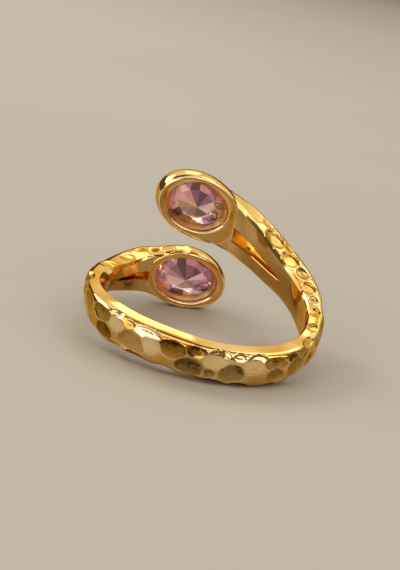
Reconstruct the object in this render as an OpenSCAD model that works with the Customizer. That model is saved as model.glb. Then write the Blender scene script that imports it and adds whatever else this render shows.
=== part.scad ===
// Adjustable open ring: a hammered band whose two arms pass each other and
// end in oval heads, each with one oval cut stone. Millimetres, +Z up, lying
// as it rests by itself, with the heads towards +Y. Angles around the finger
// are 0 at the middle of the band and reach 180 at the heads, the upper arm on
// the plus side. Depths in a head are counted outwards from the finger hole.

/* [Band] */
// Inside diameter, a middle ring size
inner_diameter = 17.2; // [16.8:0.1:17.8]
// Wall thickness, as a share of the one in the photo
wall_share = 1; // [0.9:0.01:1.1]
// Width of the smooth flank beside the finger hole
flank_width = 0.55; // [0.4:0.05:0.7]
// Bevel along both inner edges at the middle of the band
edge_bevel = 0.18; // [0.1:0.01:0.22]
// How far the arms lean out from the round hole near the heads
arm_flare = 0.75; // [0.6:0.05:0.9]

/* [Hammering] */
// Depth of a dent, as a share of its radius
dent_share = 0.2; // [0.1:0.01:0.26]
// Angle between two dents of one row
dent_pitch = 13; // [10:1:18]

/* [Heads] */
// Length of a head along the arm
head_length = 7.4; // [7.2:0.1:7.6]
// Width of a head across the arm
head_width = 5.45; // [5.3:0.05:5.6]
// Depth of a head from its inner face to its lip
head_depth = 2.6; // [2.5:0.05:2.7]
// Width of the upper arm's slot at the head
slot_width = 1.3; // [1:0.05:1.4]
// Depth of the slot
slot_depth = 1; // [0.6:0.05:1.2]

/* [Stones] */
// Length of a stone at its girdle
stone_length = 5.9; // [5.7:0.1:6]
// Width of a stone at its girdle
stone_width = 4.4; // [4.2:0.1:4.5]
// Gap between a stone and its seat
stone_gap = 0.04; // [0.02:0.01:0.06]

/* [Hidden] */

bore_r = inner_diameter / 2;
core_r = bore_r + flank_width;

// Shape of the band at every 30 degrees around the finger
ANGLE = 0;
MIDDLE = 1;
HALF_WIDTH = 2;
WALL = 3;
BEVEL = 4;
// angle, height of the middle, half of the width, wall at the crest, and the
// inner edges' bevel as a share of the one at the middle of the band
SECTIONS = [
    [-180, -2.61, 2.87, 2.6, 1.1],
    [-150, -2.2, 1.68, 2.7, 1.1],
    [-120, -1, 1.23, 2, 1.7],
    [-90, -0.04, 1.24, 1.52, 2.3],
    [-60, 0.4, 1.52, 1.88, 1.5],
    [-30, 0.55, 1.55, 1.75, 1],
    [0, 0.1, 1.56, 1.8, 1],
    [30, -0.38, 1.5, 1.82, 1],
    [60, -0.66, 1.31, 1.42, 1.1],
    [90, -0.67, 1.59, 1.83, 1.1],
    [120, 0.28, 1.68, 2.68, 1.6],
    [150, 1.97, 2.32, 3.1, 1.9],
    [180, 4.45, 2.8, 2.6, 1.5]
];
section_step = 30;
last_section = len(SECTIONS) - 1;

// angle, height of the centre, slope of the long axis, side of the arm along
// that axis, how much further the head reaches on that side, how full its
// lower corner is there (1 is an oval, less is fuller), and how deep the arm's
// inner face meets it
HEADS = [
    [182.6, 4.62, 24, -1, 0.55, 0.67, 0.25],
    [-178.7, -2.74, 15.5, 1, 0, 0.9, 0.08]
];
HEIGHT = 1;
SLOPE = 2;
ARM_SIDE = 3;
REACH = 4;
CORNER = 5;
ARM_INSET = 6;
UPPER = 0;
LOWER = 1;

// The slots, each from its tip to its wide end at the head:
// angle and height at the tip, angle and height at the head, share of the
// width, and how far it bows up between
SLOTS = [
    [123.7, 0.35, 160, 2.3, 1, -0.17],
    [-123, -1.25, -157, -2.55, 0.65, 0.03]
];
TIP_ANGLE = 0;
TIP_HEIGHT = 1;
END_ANGLE = 2;
END_HEIGHT = 3;
WIDTH_SHARE = 4;
BOW = 5;

// Main dents that show on the near side and on top of both arms: angle around
// the finger, turn around the section (0 outward, 90 up), radius, and depth as
// a share of the usual one
DENTS = [
    [-78, 10, 1.25, 0.7],
    [-60.5, 26, 1.25, 0.8],
    [-56, -6, 1, 0.7],
    [-53, 60, 0.65, 0.9],
    [-51, 13, 0.8, 0.9],
    [-45, 42, 0.7, 1],
    [-42, -3, 1.3, 0.8],
    [-35, 40, 1.25, 0.9],
    [-32, 0, 0.8, 0.9],
    [-22, 14, 1.2, 1],
    [-11.5, 32, 0.95, 1],
    [-13.5, -7, 1.25, 0.6],
    [-1, 53, 0.75, 1],
    [-2.5, 11, 1, 1],
    [8, 53, 0.5, 1],
    [17, 59, 0.75, 1],
    [15, 9, 0.95, 1],
    [5, -3, 1.1, 0.8],
    [-5, -8, 0.65, 0.7],
    [26, 20, 1.1, 0.8],
    [31, 7, 0.55, 1],
    [38, 30, 0.8, 0.9],
    [46.5, 25, 1, 0.8],
    [41, -1, 1.25, 0.7],
    [27, -6, 1, 0.7],
    [-124.5, 86, 0.9, 0.8],
    [-144, 86, 0.75, 0.8],
    [-155, 80, 0.5, 0.8],
    [-161, 86, 0.45, 1],
    [-166, 86, 0.45, 0.8],
    [-172, 86, 0.5, 0.6],
    [152, 84, 1.1, 0.6],
    [145, 72, 0.8, 0.7],
    [137, 86, 1.15, 0.7],
    [130.5, 70, 0.6, 0.9],
    [124, 86, 1, 0.8],
    [114.5, 80, 0.85, 0.9],
    [103, 86, 0.9, 0.9],
    [93, 86, 0.65, 1],
    [83, 86, 0.65, 1],
    [68.5, 86, 0.7, 1]
];
TURN = 1;
RADIUS = 2;
SHALLOW = 3;

// Where the table above holds all the dents: the near side, and on top from
// these angles on
near_from = -88;
near_to = 54;
near_low_turn = -25;
right_top_from = 58;
left_top_from = -110;
top_turn = 50;

// The other dents come in rows, each at a turn around the section
ROW_TURNS = [-52, -14, 24, 60];
row_turn_play = 9;
row_angle_play = 0.25;
scattered_radius = 0.95;
scattered_radius_play = 0.25;
plain_end = 8;

// How the ring lies on the floor by itself, on the lower head and the near
// side of the band, and the shift that puts the floor's centre under it
rest_pitch = 12.46;
rest_roll = -3.364;
rest_x = -0.2073;
rest_y = -0.8588;
rest_height = 3.5098;

// Steps of the skin along the band and around half a section
station_step = 2.25;
arc_steps = 14;
arm_end = 178;
corner_power = 0.55;

// Least part of the flank that the bevel leaves
flank_least = 0.1;

// Radius at which the skin is unrolled to place the dents on it
chart_r = bore_r + 1.3;

// Where it is round, the band starts inside the finger hole, which is then cut true
hole_margin = 0.3;
hole_length = 40;

// How far a cut passes the surface that it opens
past = 1;

// Where the arms begin to lean out and where they reach the heads
flare_from = 130;
flare_span = 30;
head_zone = 150;
arm_step = 0.1;

// Smooth value of one column of the sections between their angles
function section_row(i) = SECTIONS[min(max(i, 0), last_section)];
function spline(a, b, c, d, t) =
    b + 0.5 * t * (c - a + t * (2 * a - 5 * b + 4 * c - d + t * (3 * (b - c) + d - a)));
function along(angle, column) =
    let (
        x = (angle - SECTIONS[0][ANGLE]) / section_step,
        i = min(floor(x), last_section - 1)
    )
    spline(section_row(i - 1)[column], section_row(i)[column], section_row(i + 1)[column],
           section_row(i + 2)[column], x - i);

function smooth_step(x) = let (t = min(max(x, 0), 1)) t * t * (3 - 2 * t);

// The arms lean out of the round hole, and then follow the heads' flat faces
function near_head(angle) = abs(angle) > head_zone;
function face_drop(angle, depth) = (bore_r + depth) / cos(180 - abs(angle)) - bore_r;
function flare(angle) =
    let (lean = arm_flare * smooth_step((abs(angle) - flare_from) / flare_span))
    near_head(angle) ? min(lean, face_drop(angle, HEADS[angle > 0 ? UPPER : LOWER][ARM_INSET])) : lean;
function wall(angle) =
    let (full = wall_share * along(angle, WALL))
    near_head(angle) ? min(full, face_drop(angle, head_depth - arm_step) - flare(angle)) : full;

// Outline of the section: a rounded box from flank to flank
function signed_power(x, p) = sign(x) * pow(abs(x), p);
function arc_out(angle, turn) = (wall(angle) - flank_width) * signed_power(cos(turn), corner_power);
function arc_up(angle, turn) = along(angle, HALF_WIDTH) * signed_power(sin(turn), corner_power);
function arc_point(angle, turn) = [
    chart_r * angle * PI / 180,
    core_r + flare(angle) + arc_out(angle, turn),
    along(angle, MIDDLE) + arc_up(angle, turn)
];
function arc_normal(angle, turn) =
    let (
        out = signed_power(cos(turn), 2 - corner_power) / (wall(angle) - flank_width),
        up = signed_power(sin(turn), 2 - corner_power) / along(angle, HALF_WIDTH),
        size = norm([out, up])
    )
    [0, out / size, up / size];

// The way out of the skin, leaning where the band rises or falls
function skin_normal(angle, turn) =
    let (
        square = arc_normal(angle, turn),
        run = arc_point(angle + 1, turn) - arc_point(angle - 1, turn),
        way = square - [square * run / run[0], 0, 0]
    )
    way / norm(way);

// A dent is the bite of a ball: its centre and radius
function ball(angle, turn, radius, share) =
    let (
        depth = radius * dent_share * share,
        ball_r = (radius * radius + depth * depth) / (2 * depth)
    )
    [arc_point(angle, turn) + (ball_r - depth) * skin_normal(angle, turn), ball_r];

// A repeatable scatter between -1 and 1
function scatter(i) = let (x = sin(i * 127.1) * 437.5) 2 * (x - floor(x)) - 1;

function in_table(angle, turn) =
    angle > near_from && angle < near_to && turn > near_low_turn
    || (angle > right_top_from || angle < left_top_from) && turn > top_turn;
dents_in_row = floor(2 * arm_end / dent_pitch);
scattered = [
    for (row = [0:len(ROW_TURNS) - 1], i = [0:dents_in_row - 1])
        let (
            seed = row * dents_in_row + i,
            place_in_row = i + row % 2 / 2 + row_angle_play * scatter(seed),
            angle = -arm_end + plain_end + place_in_row * dent_pitch,
            turn = ROW_TURNS[row] + row_turn_play * scatter(seed + 500),
            radius = scattered_radius + scattered_radius_play * scatter(seed + 900)
        )
        if (!in_table(angle, turn) && abs(angle) < arm_end - plain_end)
            [angle, turn, radius, 1]
];
BALLS = [for (d = concat(DENTS, scattered)) ball(d[ANGLE], d[TURN], d[RADIUS], d[SHALLOW])];

// How deep the deepest dent goes at a point of the outline
dent_reach = 3.2;
function bite_at(p) =
    max([0, for (b = BALLS) if (abs(b[0][0] - p[0]) < dent_reach) b[1] - norm(p - b[0])]);
function bitten(p, normal) = p - bite_at(p) * normal;

// One section of the band as points, in the plane through the finger's axis
function place(angle, r, z) = [r * sin(angle), -r * cos(angle), z];
function bevel(angle) = min(edge_bevel * along(angle, BEVEL), flank_width - flank_least);
function flank_points(angle, side, shares) =
    let (
        z = along(angle, MIDDLE) + side * along(angle, HALF_WIDTH),
        width = flank_width - bevel(angle)
    )
    [
        for (share = shares)
            let (
                r = core_r + flare(angle) - share * width,
                q = bitten([chart_r * angle * PI / 180, r, z], [0, 0, side])
            )
            place(angle, q[1], q[2])
    ];
function section_points(angle) =
    let (
        middle = along(angle, MIDDLE),
        half = along(angle, HALF_WIDTH),
        inner = bore_r + flare(angle),
        deep = flare(angle) > 0 ? 0 : hole_margin,
        lip = half - bevel(angle) - deep
    )
    concat(
        [place(angle, inner - deep, middle - lip)],
        flank_points(angle, -1, [1, 0.5]),
        [
            for (i = [0:arc_steps])
                let (
                    side = 2 * i / arc_steps - 1,
                    turn = 90 * sign(side) * smooth_step(abs(side)),
                    q = bitten(arc_point(angle, turn), arc_normal(angle, turn))
                )
                place(angle, q[1], q[2])
        ],
        flank_points(angle, 1, [0.5, 1]),
        [place(angle, inner - deep, middle + lip)]
    );

// A closed skin over rings of equal length, with flat ends; each four-sided
// face is split along the diagonal that stands out more, so ridges stay sharp
function centre(ring) = [for (p = ring) 1] * ring / len(ring);
module loft(rings) {
    n = len(rings[0]);
    m = len(rings);
    points = [for (ring = rings) for (p = ring) p];
    centres = [for (ring = rings) centre(ring)];
    sides = [
        for (j = [0:m - 2], i = [0:n - 1])
            let (
                a = j * n + i,
                b = j * n + (i + 1) % n,
                twice_middle = centres[j] + centres[j + 1],
                one = norm(points[a] + points[b + n] - twice_middle),
                other = norm(points[b] + points[a + n] - twice_middle)
            )
            each one > other ? [[a, b + n, b], [a, a + n, b + n]] : [[a, a + n, b], [b, a + n, b + n]]
    ];
    first_end = [[for (i = [0:n - 1]) i]];
    last_end = [[for (i = [n - 1:-1:0]) (m - 1) * n + i]];
    polyhedron(points = points, faces = concat(sides, first_end, last_end));
}

module band() {
    count = round(2 * arm_end / station_step);
    loft([for (j = [count:-1:0]) section_points(-arm_end + 2 * arm_end * j / count)]);
}

// Puts a shape that is built around the head's axis at its place on the ring;
// its x is the long axis, z the short one, and depth grows towards -y
module at_head(which) {
    rotate([0, 0, HEADS[which][ANGLE]])
        translate([0, 0, HEADS[which][HEIGHT]])
            rotate([0, -HEADS[which][SLOPE], 0])
                children();
}

// Outline of a head in steps around it, and a plain oval with the same steps
oval_sides = 40;
function head_ring(head, depth, half_length, half_width) = [
    for (i = [0:oval_sides - 1])
        let (
            turn = 360 * i / oval_sides,
            on_arm = cos(turn) * head[ARM_SIDE] > 0,
            power = on_arm && sin(turn) < 0 ? head[CORNER] : 1,
            reach = on_arm ? head[REACH] : 0
        )
        [
            (half_length + reach) * signed_power(cos(turn), power),
            -bore_r - depth,
            half_width * signed_power(sin(turn), power)
        ]
];
PLAIN_OVAL = [0, 0, 0, 0, 0, 1, 0];

// A head from its inner face to its lip: depth, and how far it stands out
face_depth = 0.05;
face_bevel = 0.12;
module head_solid(which) {
    at_head(which)
        loft([
            for (row = [
                [face_depth, -face_bevel],
                [face_depth + face_bevel, 0],
                [0.31 * head_depth, 0.15],
                [0.54 * head_depth, 0.12],
                [0.73 * head_depth, -0.08],
                [0.88 * head_depth, -0.36],
                [head_depth, -0.68]
            ])
                head_ring(HEADS[which], row[0], head_length / 2 + row[1], head_width / 2 + row[1])
        ]);
}

// Room for a stone: the cup behind it, its seat, and the lip over its crown
girdle_depth = 1.4;
girdle_band = 0.08;
seat_depth = 1.05;
cup_over = 0.05;
cup_bevel = 0.15;
seat_inset = 0.35;
lip_inset = 0.38;
lip_edge = 0.1;
module head_hollow(which) {
    g = stone_gap;
    at_head(which)
        loft([
            for (row = [
                [-past, cup_over],
                [face_depth, cup_over],
                [face_depth + cup_bevel, -cup_bevel],
                [seat_depth - g, -seat_inset],
                [girdle_depth - g, g],
                [girdle_depth + girdle_band + g, g],
                [head_depth - lip_edge, -lip_inset],
                [head_depth + past, -lip_inset]
            ])
                head_ring(PLAIN_OVAL, row[0], stone_length / 2 + row[1], stone_width / 2 + row[1])
        ]);
}

// A slot narrows and grows shallow from the head to its tip
slot_tip_width = 0.06;
slot_tip_depth = 0.35;
slot_floor_share = 0.8;
slot_steps = 8;
function between(from, to, t) = from + (to - from) * t;
module slot(which) {
    s = SLOTS[which];
    loft([
        for (j = [0:slot_steps])
            let (
                t = which == UPPER ? 1 - j / slot_steps : j / slot_steps,
                angle = between(s[TIP_ANGLE], s[END_ANGLE], t),
                z = between(s[TIP_HEIGHT], s[END_HEIGHT], t) + s[BOW] * 4 * t * (1 - t),
                open = slot_width / 2 * s[WIDTH_SHARE] * between(slot_tip_width, 1, t),
                floor_r = bore_r + flare(angle) + slot_depth * between(slot_tip_depth, 1, t)
            )
            [
                place(angle, bore_r - past, z - open),
                place(angle, floor_r, z - open * slot_floor_share),
                place(angle, floor_r, z + open * slot_floor_share),
                place(angle, bore_r - past, z + open)
            ]
    ]);
}

module resting() {
    translate([rest_x, rest_y, rest_height])
        rotate([rest_pitch, rest_roll, 0])
            children();
}

// One casting: band, arms and both heads, with the finger hole cut true
module ring_casting() {
    color("#d9a441")
        resting()
            difference() {
                union() {
                    band();
                    head_solid(UPPER);
                    head_solid(LOWER);
                }
                cylinder(r = bore_r, h = hole_length, center = true);
                head_hollow(UPPER);
                head_hollow(LOWER);
                slot(UPPER);
                slot(LOWER);
            }
}

// Oval brilliant cut, a row for each ring of corners from culet to table:
// depth, share of the girdle's size, corners, turn of the first corner
CUT = [
    [0.25, 0.03, 8, 0],
    [0.7, 0.45, 8, 22.5],
    [girdle_depth, 1, 16, 0],
    [girdle_depth + girdle_band, 1, 16, 0],
    [1.95, 0.77, 8, 0],
    [2.3, 0.56, 8, 22.5]
];
DEPTH = 0;
SHARE = 1;
CORNERS = 2;
FIRST_TURN = 3;
module stone(which) {
    corners = [
        for (ring = CUT, i = [0:ring[CORNERS] - 1])
            let (turn = ring[FIRST_TURN] + 360 * i / ring[CORNERS])
            [
                stone_length / 2 * ring[SHARE] * cos(turn),
                -bore_r - ring[DEPTH],
                stone_width / 2 * ring[SHARE] * sin(turn)
            ]
    ];
    resting()
        at_head(which)
            hull()
                polyhedron(points = corners, faces = [[for (i = [0:len(corners) - 1]) i]]);
}

module upper_stone() {
    color("#c98aa0")
        stone(UPPER);
}

module lower_stone() {
    color("#c98aa0")
        stone(LOWER);
}

ring_casting();
upper_stone();
lower_stone();
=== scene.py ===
"""An adjustable open ring: a hammered gold band whose arms pass each other, with two oval stones.

The CAD model is the frame. This script dresses it with a fine casting and two cut stones, and
adds the floor, the lights and the camera. Shapes are worked out in millimetres around the finger
hole, and are then laid down in the resting pose and turned to metres.
"""

import logging
import math
from dataclasses import dataclass, field, fields
from enum import Enum, IntEnum
from functools import partial
from typing import Callable, Sequence

import bmesh
import bpy
import numpy as np
from mathutils import Matrix, Vector


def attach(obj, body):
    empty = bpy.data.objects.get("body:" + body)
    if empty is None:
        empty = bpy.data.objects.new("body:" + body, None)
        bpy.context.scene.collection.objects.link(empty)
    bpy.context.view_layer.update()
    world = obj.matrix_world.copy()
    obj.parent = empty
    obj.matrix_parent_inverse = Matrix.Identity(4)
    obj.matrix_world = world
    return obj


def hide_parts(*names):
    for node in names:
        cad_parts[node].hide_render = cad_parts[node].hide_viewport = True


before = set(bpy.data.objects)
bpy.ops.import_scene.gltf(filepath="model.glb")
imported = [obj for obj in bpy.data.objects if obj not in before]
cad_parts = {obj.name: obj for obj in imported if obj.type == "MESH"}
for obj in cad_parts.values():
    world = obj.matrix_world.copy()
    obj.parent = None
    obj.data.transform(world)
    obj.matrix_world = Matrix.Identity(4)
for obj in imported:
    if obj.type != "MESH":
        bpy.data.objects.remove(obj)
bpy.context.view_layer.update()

LOG = logging.getLogger("open_ring")
MM = 0.001
MATH = "ShaderNodeMath"
VECTOR_MATH = "ShaderNodeVectorMath"
MIX = "ShaderNodeMix"
RANGE = "ShaderNodeMapRange"
NOISE = "ShaderNodeTexNoise"
SEEN = "ShaderNodeAttribute"
NAMED = "GeometryNodeInputNamedAttribute"
STORE = "GeometryNodeStoreNamedAttribute"

Array = np.ndarray
Object = bpy.types.Object
Node = bpy.types.Node
Socket = bpy.types.NodeSocket
Faces = list[tuple[int, ...]]
Inputs = dict[str | int, object] | Sequence[object]
Seen = dict[str, Node | Socket]
Pair = tuple[float, float]
Triple = tuple[float, float, float]
Range = tuple[float, ...]
Rows = tuple[tuple[float, ...], ...]


def linear(hex_colour: str) -> tuple[float, float, float, float]:
    """Turn an sRGB hex colour to the linear values that a shader takes.

    Args:
        hex_colour: six hex digits with a leading hash.

    Returns:
        Linear red, green and blue by the sRGB standard's own curve, and an alpha of 1.
    """
    parts = [int(hex_colour[i:i + 2], 16) / 255 for i in (1, 3, 5)]
    turned = [c / 12.92 if c <= 0.04045 else ((c + 0.055) / 1.055) ** 2.4 for c in parts]
    return (*turned, 1.0)


def smooth_step(x: Array) -> Array:
    """Ease from 0 to 1, flat at both ends."""
    t = np.clip(x, 0.0, 1.0)
    return t * t * (3 - 2 * t)


def signed_power(x: Array, power: float | Array) -> Array:
    """Raise the size of each value to a power and keep its sign."""
    return np.sign(x) * np.abs(x) ** power


def columns(*parts: Array | float) -> Array:
    """Put the parts side by side as a last axis, each stretched to the shape of them all."""
    return np.stack(np.broadcast_arrays(*parts), axis=-1)


def place(angle: Array, r: Array, z: Array) -> Array:
    """Put points around the finger hole by their degrees from the band's middle, radius and height."""
    a = np.radians(angle)
    return columns(r * np.sin(a), -r * np.cos(a), z)


def direction(azimuth_deg: float, elevation_deg: float) -> Array:
    """Return the way from the ring to a place, by its azimuth from the front and its elevation."""
    a, e = math.radians(azimuth_deg), math.radians(elevation_deg)
    return np.array([math.sin(a) * math.cos(e), -math.cos(a) * math.cos(e), math.sin(e)])


def loft_faces(rings: int, around: int) -> Faces:
    """Name the faces of a closed skin over rings of equal length, with flat ends.

    Args:
        rings: how many rings there are.
        around: how many points each ring has.

    Returns:
        The faces as tuples of point numbers.
    """
    faces = []
    for first in range(0, (rings - 1) * around, around):
        for i in range(around):
            a, b = first + i, first + (i + 1) % around
            faces.append((a, b, b + around, a + around))
    faces.append(tuple(range(around))[::-1])
    faces.append(tuple(range((rings - 1) * around, rings * around)))
    return faces


@dataclass(frozen=True)
class RestingPose:
    """How the ring lies on the floor by itself, as the CAD model has it."""

    pitch_deg: float = 12.46
    roll_deg: float = -3.364
    shift_mm: Triple = (-0.2073, -0.8588, 3.5098)

    def rotation(self) -> Array:
        """Work out the turn from the ring's own axes to the frame's.

        Returns:
            The turn as a matrix.
        """
        a, b = math.radians(self.pitch_deg), math.radians(self.roll_deg)
        pitch = np.array([[1, 0, 0], [0, math.cos(a), -math.sin(a)], [0, math.sin(a), math.cos(a)]])
        roll = np.array([[math.cos(b), 0, math.sin(b)], [0, 1, 0], [-math.sin(b), 0, math.cos(b)]])
        return roll @ pitch

    def lay(self, points_mm: Array) -> Array:
        """Turn points around the finger hole, in millimetres, to points of the frame, in metres."""
        return (points_mm @ self.rotation().T + np.array(self.shift_mm)) * MM

    def turn(self, directions: Array) -> Array:
        """Turn directions around the finger hole to those of the frame."""
        return directions @ self.rotation().T

    def lift(self, points_m: Array) -> Array:
        """Turn points of the frame, in metres, back to those around the finger hole."""
        return (points_m / MM - np.array(self.shift_mm)) @ self.rotation()


POSE = RestingPose()


def linked(name: str, data: bpy.types.ID) -> Object:
    """Make an object and link it to the scene.

    Args:
        name: the object's name.
        data: its mesh, light or camera.

    Returns:
        The new object.
    """
    made = bpy.data.objects.new(name, data)
    bpy.context.scene.collection.objects.link(made)
    return made


def mesh_object(name: str, points_mm: Array, faces: Faces) -> Object:
    """Make an object from a closed skin, laid down in the frame and facing outward.

    Args:
        name: the object's name.
        points_mm: points around the finger hole in millimetres.
        faces: the faces as tuples of point numbers.

    Returns:
        The new object, linked to the scene.
    """
    fans = np.array([(f[0], f[i], f[i + 1]) for f in faces for i in range(1, len(f) - 1)])
    a, b, c = (points_mm[fans[:, k]] for k in range(3))
    # A skin whose faces look inward has a volume below zero
    if np.einsum("ij,ij->", a, np.cross(b, c)) < 0:
        faces = [f[::-1] for f in faces]
    mesh = bpy.data.meshes.new(name)
    mesh.from_pydata(POSE.lay(points_mm).tolist(), [], faces)
    mesh.update()
    return linked(name, mesh)


def made_plain(piece: Object) -> None:
    """Turn what an object's modifiers make into its own mesh, and remove the modifiers.

    Args:
        piece: the object.
    """
    graph = bpy.context.evaluated_depsgraph_get()
    graph.update()
    shaped = piece.evaluated_get(graph)
    plain = bpy.data.meshes.new_from_object(shaped, preserve_all_data_layers=True, depsgraph=graph)
    piece.modifiers.clear()
    old, piece.data = piece.data, plain
    plain.name = piece.name
    bpy.data.meshes.remove(old)


def join_shapes(piece: Object, other: Object, operation: str) -> None:
    """Add one solid to another, or cut it away, and drop the second.

    Args:
        piece: the object that is kept.
        other: the object that is added or cut away.
        operation: UNION or DIFFERENCE.
    """
    step = piece.modifiers.new(operation.title(), "BOOLEAN")
    step.operation = operation
    step.solver = "MANIFOLD"
    step.object = other
    made_plain(piece)
    bpy.data.objects.remove(other, do_unlink=True)


def store(piece: Object, name: str, values: Array) -> None:
    """Store one value or one vector for each point of a piece.

    Args:
        piece: the object.
        name: the attribute's name.
        values: the values in the order of the points; vectors have a last axis of three.
    """
    kind, key = ("FLOAT", "value") if values.size == len(piece.data.vertices) else ("FLOAT_VECTOR", "vector")
    layer = piece.data.attributes.get(name) or piece.data.attributes.new(name, kind, "POINT")
    layer.data.foreach_set(key, values.reshape(-1).astype(np.float32))


def read(piece: Object, name: str) -> Array:
    """Read one value of each point of a piece, in the order of the points."""
    return np.array([point.value for point in piece.data.attributes[name].data], np.float32)


def feed(node: Node, inputs: Inputs) -> None:
    """Set or link a node's inputs.

    Args:
        node: the node.
        inputs: a value, an output or a node for each input, in order, or by name or number. A
            node stands for its first output.
    """
    for name, value in inputs.items() if isinstance(inputs, dict) else enumerate(inputs):
        if isinstance(value, Node):
            value = next(s for s in value.outputs if s.enabled)
        if isinstance(value, Socket):
            node.id_data.links.new(value, node.inputs[name])
        else:
            node.inputs[name].default_value = value


def add_node(tree: bpy.types.NodeTree, kind: str, inputs: Inputs = (), operation: str = "",
             **settings: object) -> Node:
    """Add a node with its settings, values and links.

    Args:
        tree: the node tree.
        kind: the node's type.
        inputs: what its inputs are fed with.
        operation: its operation, where it has one to choose.
        settings: a value for each of the node's own properties.

    Returns:
        The new node.
    """
    node = tree.nodes.new(kind)
    if operation:
        node.operation = operation
    for name, value in settings.items():
        setattr(node, name, value)
    feed(node, inputs)
    return node


def start_finish(name: str, metallic: float,
                 roughness: float) -> tuple[bpy.types.Material, Node, Callable, Node]:
    """Start a finish: a plain shader, and the place of each point in the object's own millimetres.

    Args:
        name: the material's name.
        metallic: 1 for metal, 0 for anything else.
        roughness: the shader's roughness where nothing drives it.

    Returns:
        The material, its shader, the function that adds a node, and the node with the millimetres.
    """
    material = bpy.data.materials.new(name)
    material.use_nodes = True
    shader = next(n for n in material.node_tree.nodes if n.type == "BSDF_PRINCIPLED")
    feed(shader, {"Metallic": metallic, "Roughness": roughness})
    node = partial(add_node, material.node_tree)
    metres = node("ShaderNodeTexCoord").outputs["Object"]
    return material, shader, node, node(VECTOR_MATH, {0: metres, "Scale": 1 / MM}, "SCALE")


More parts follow.
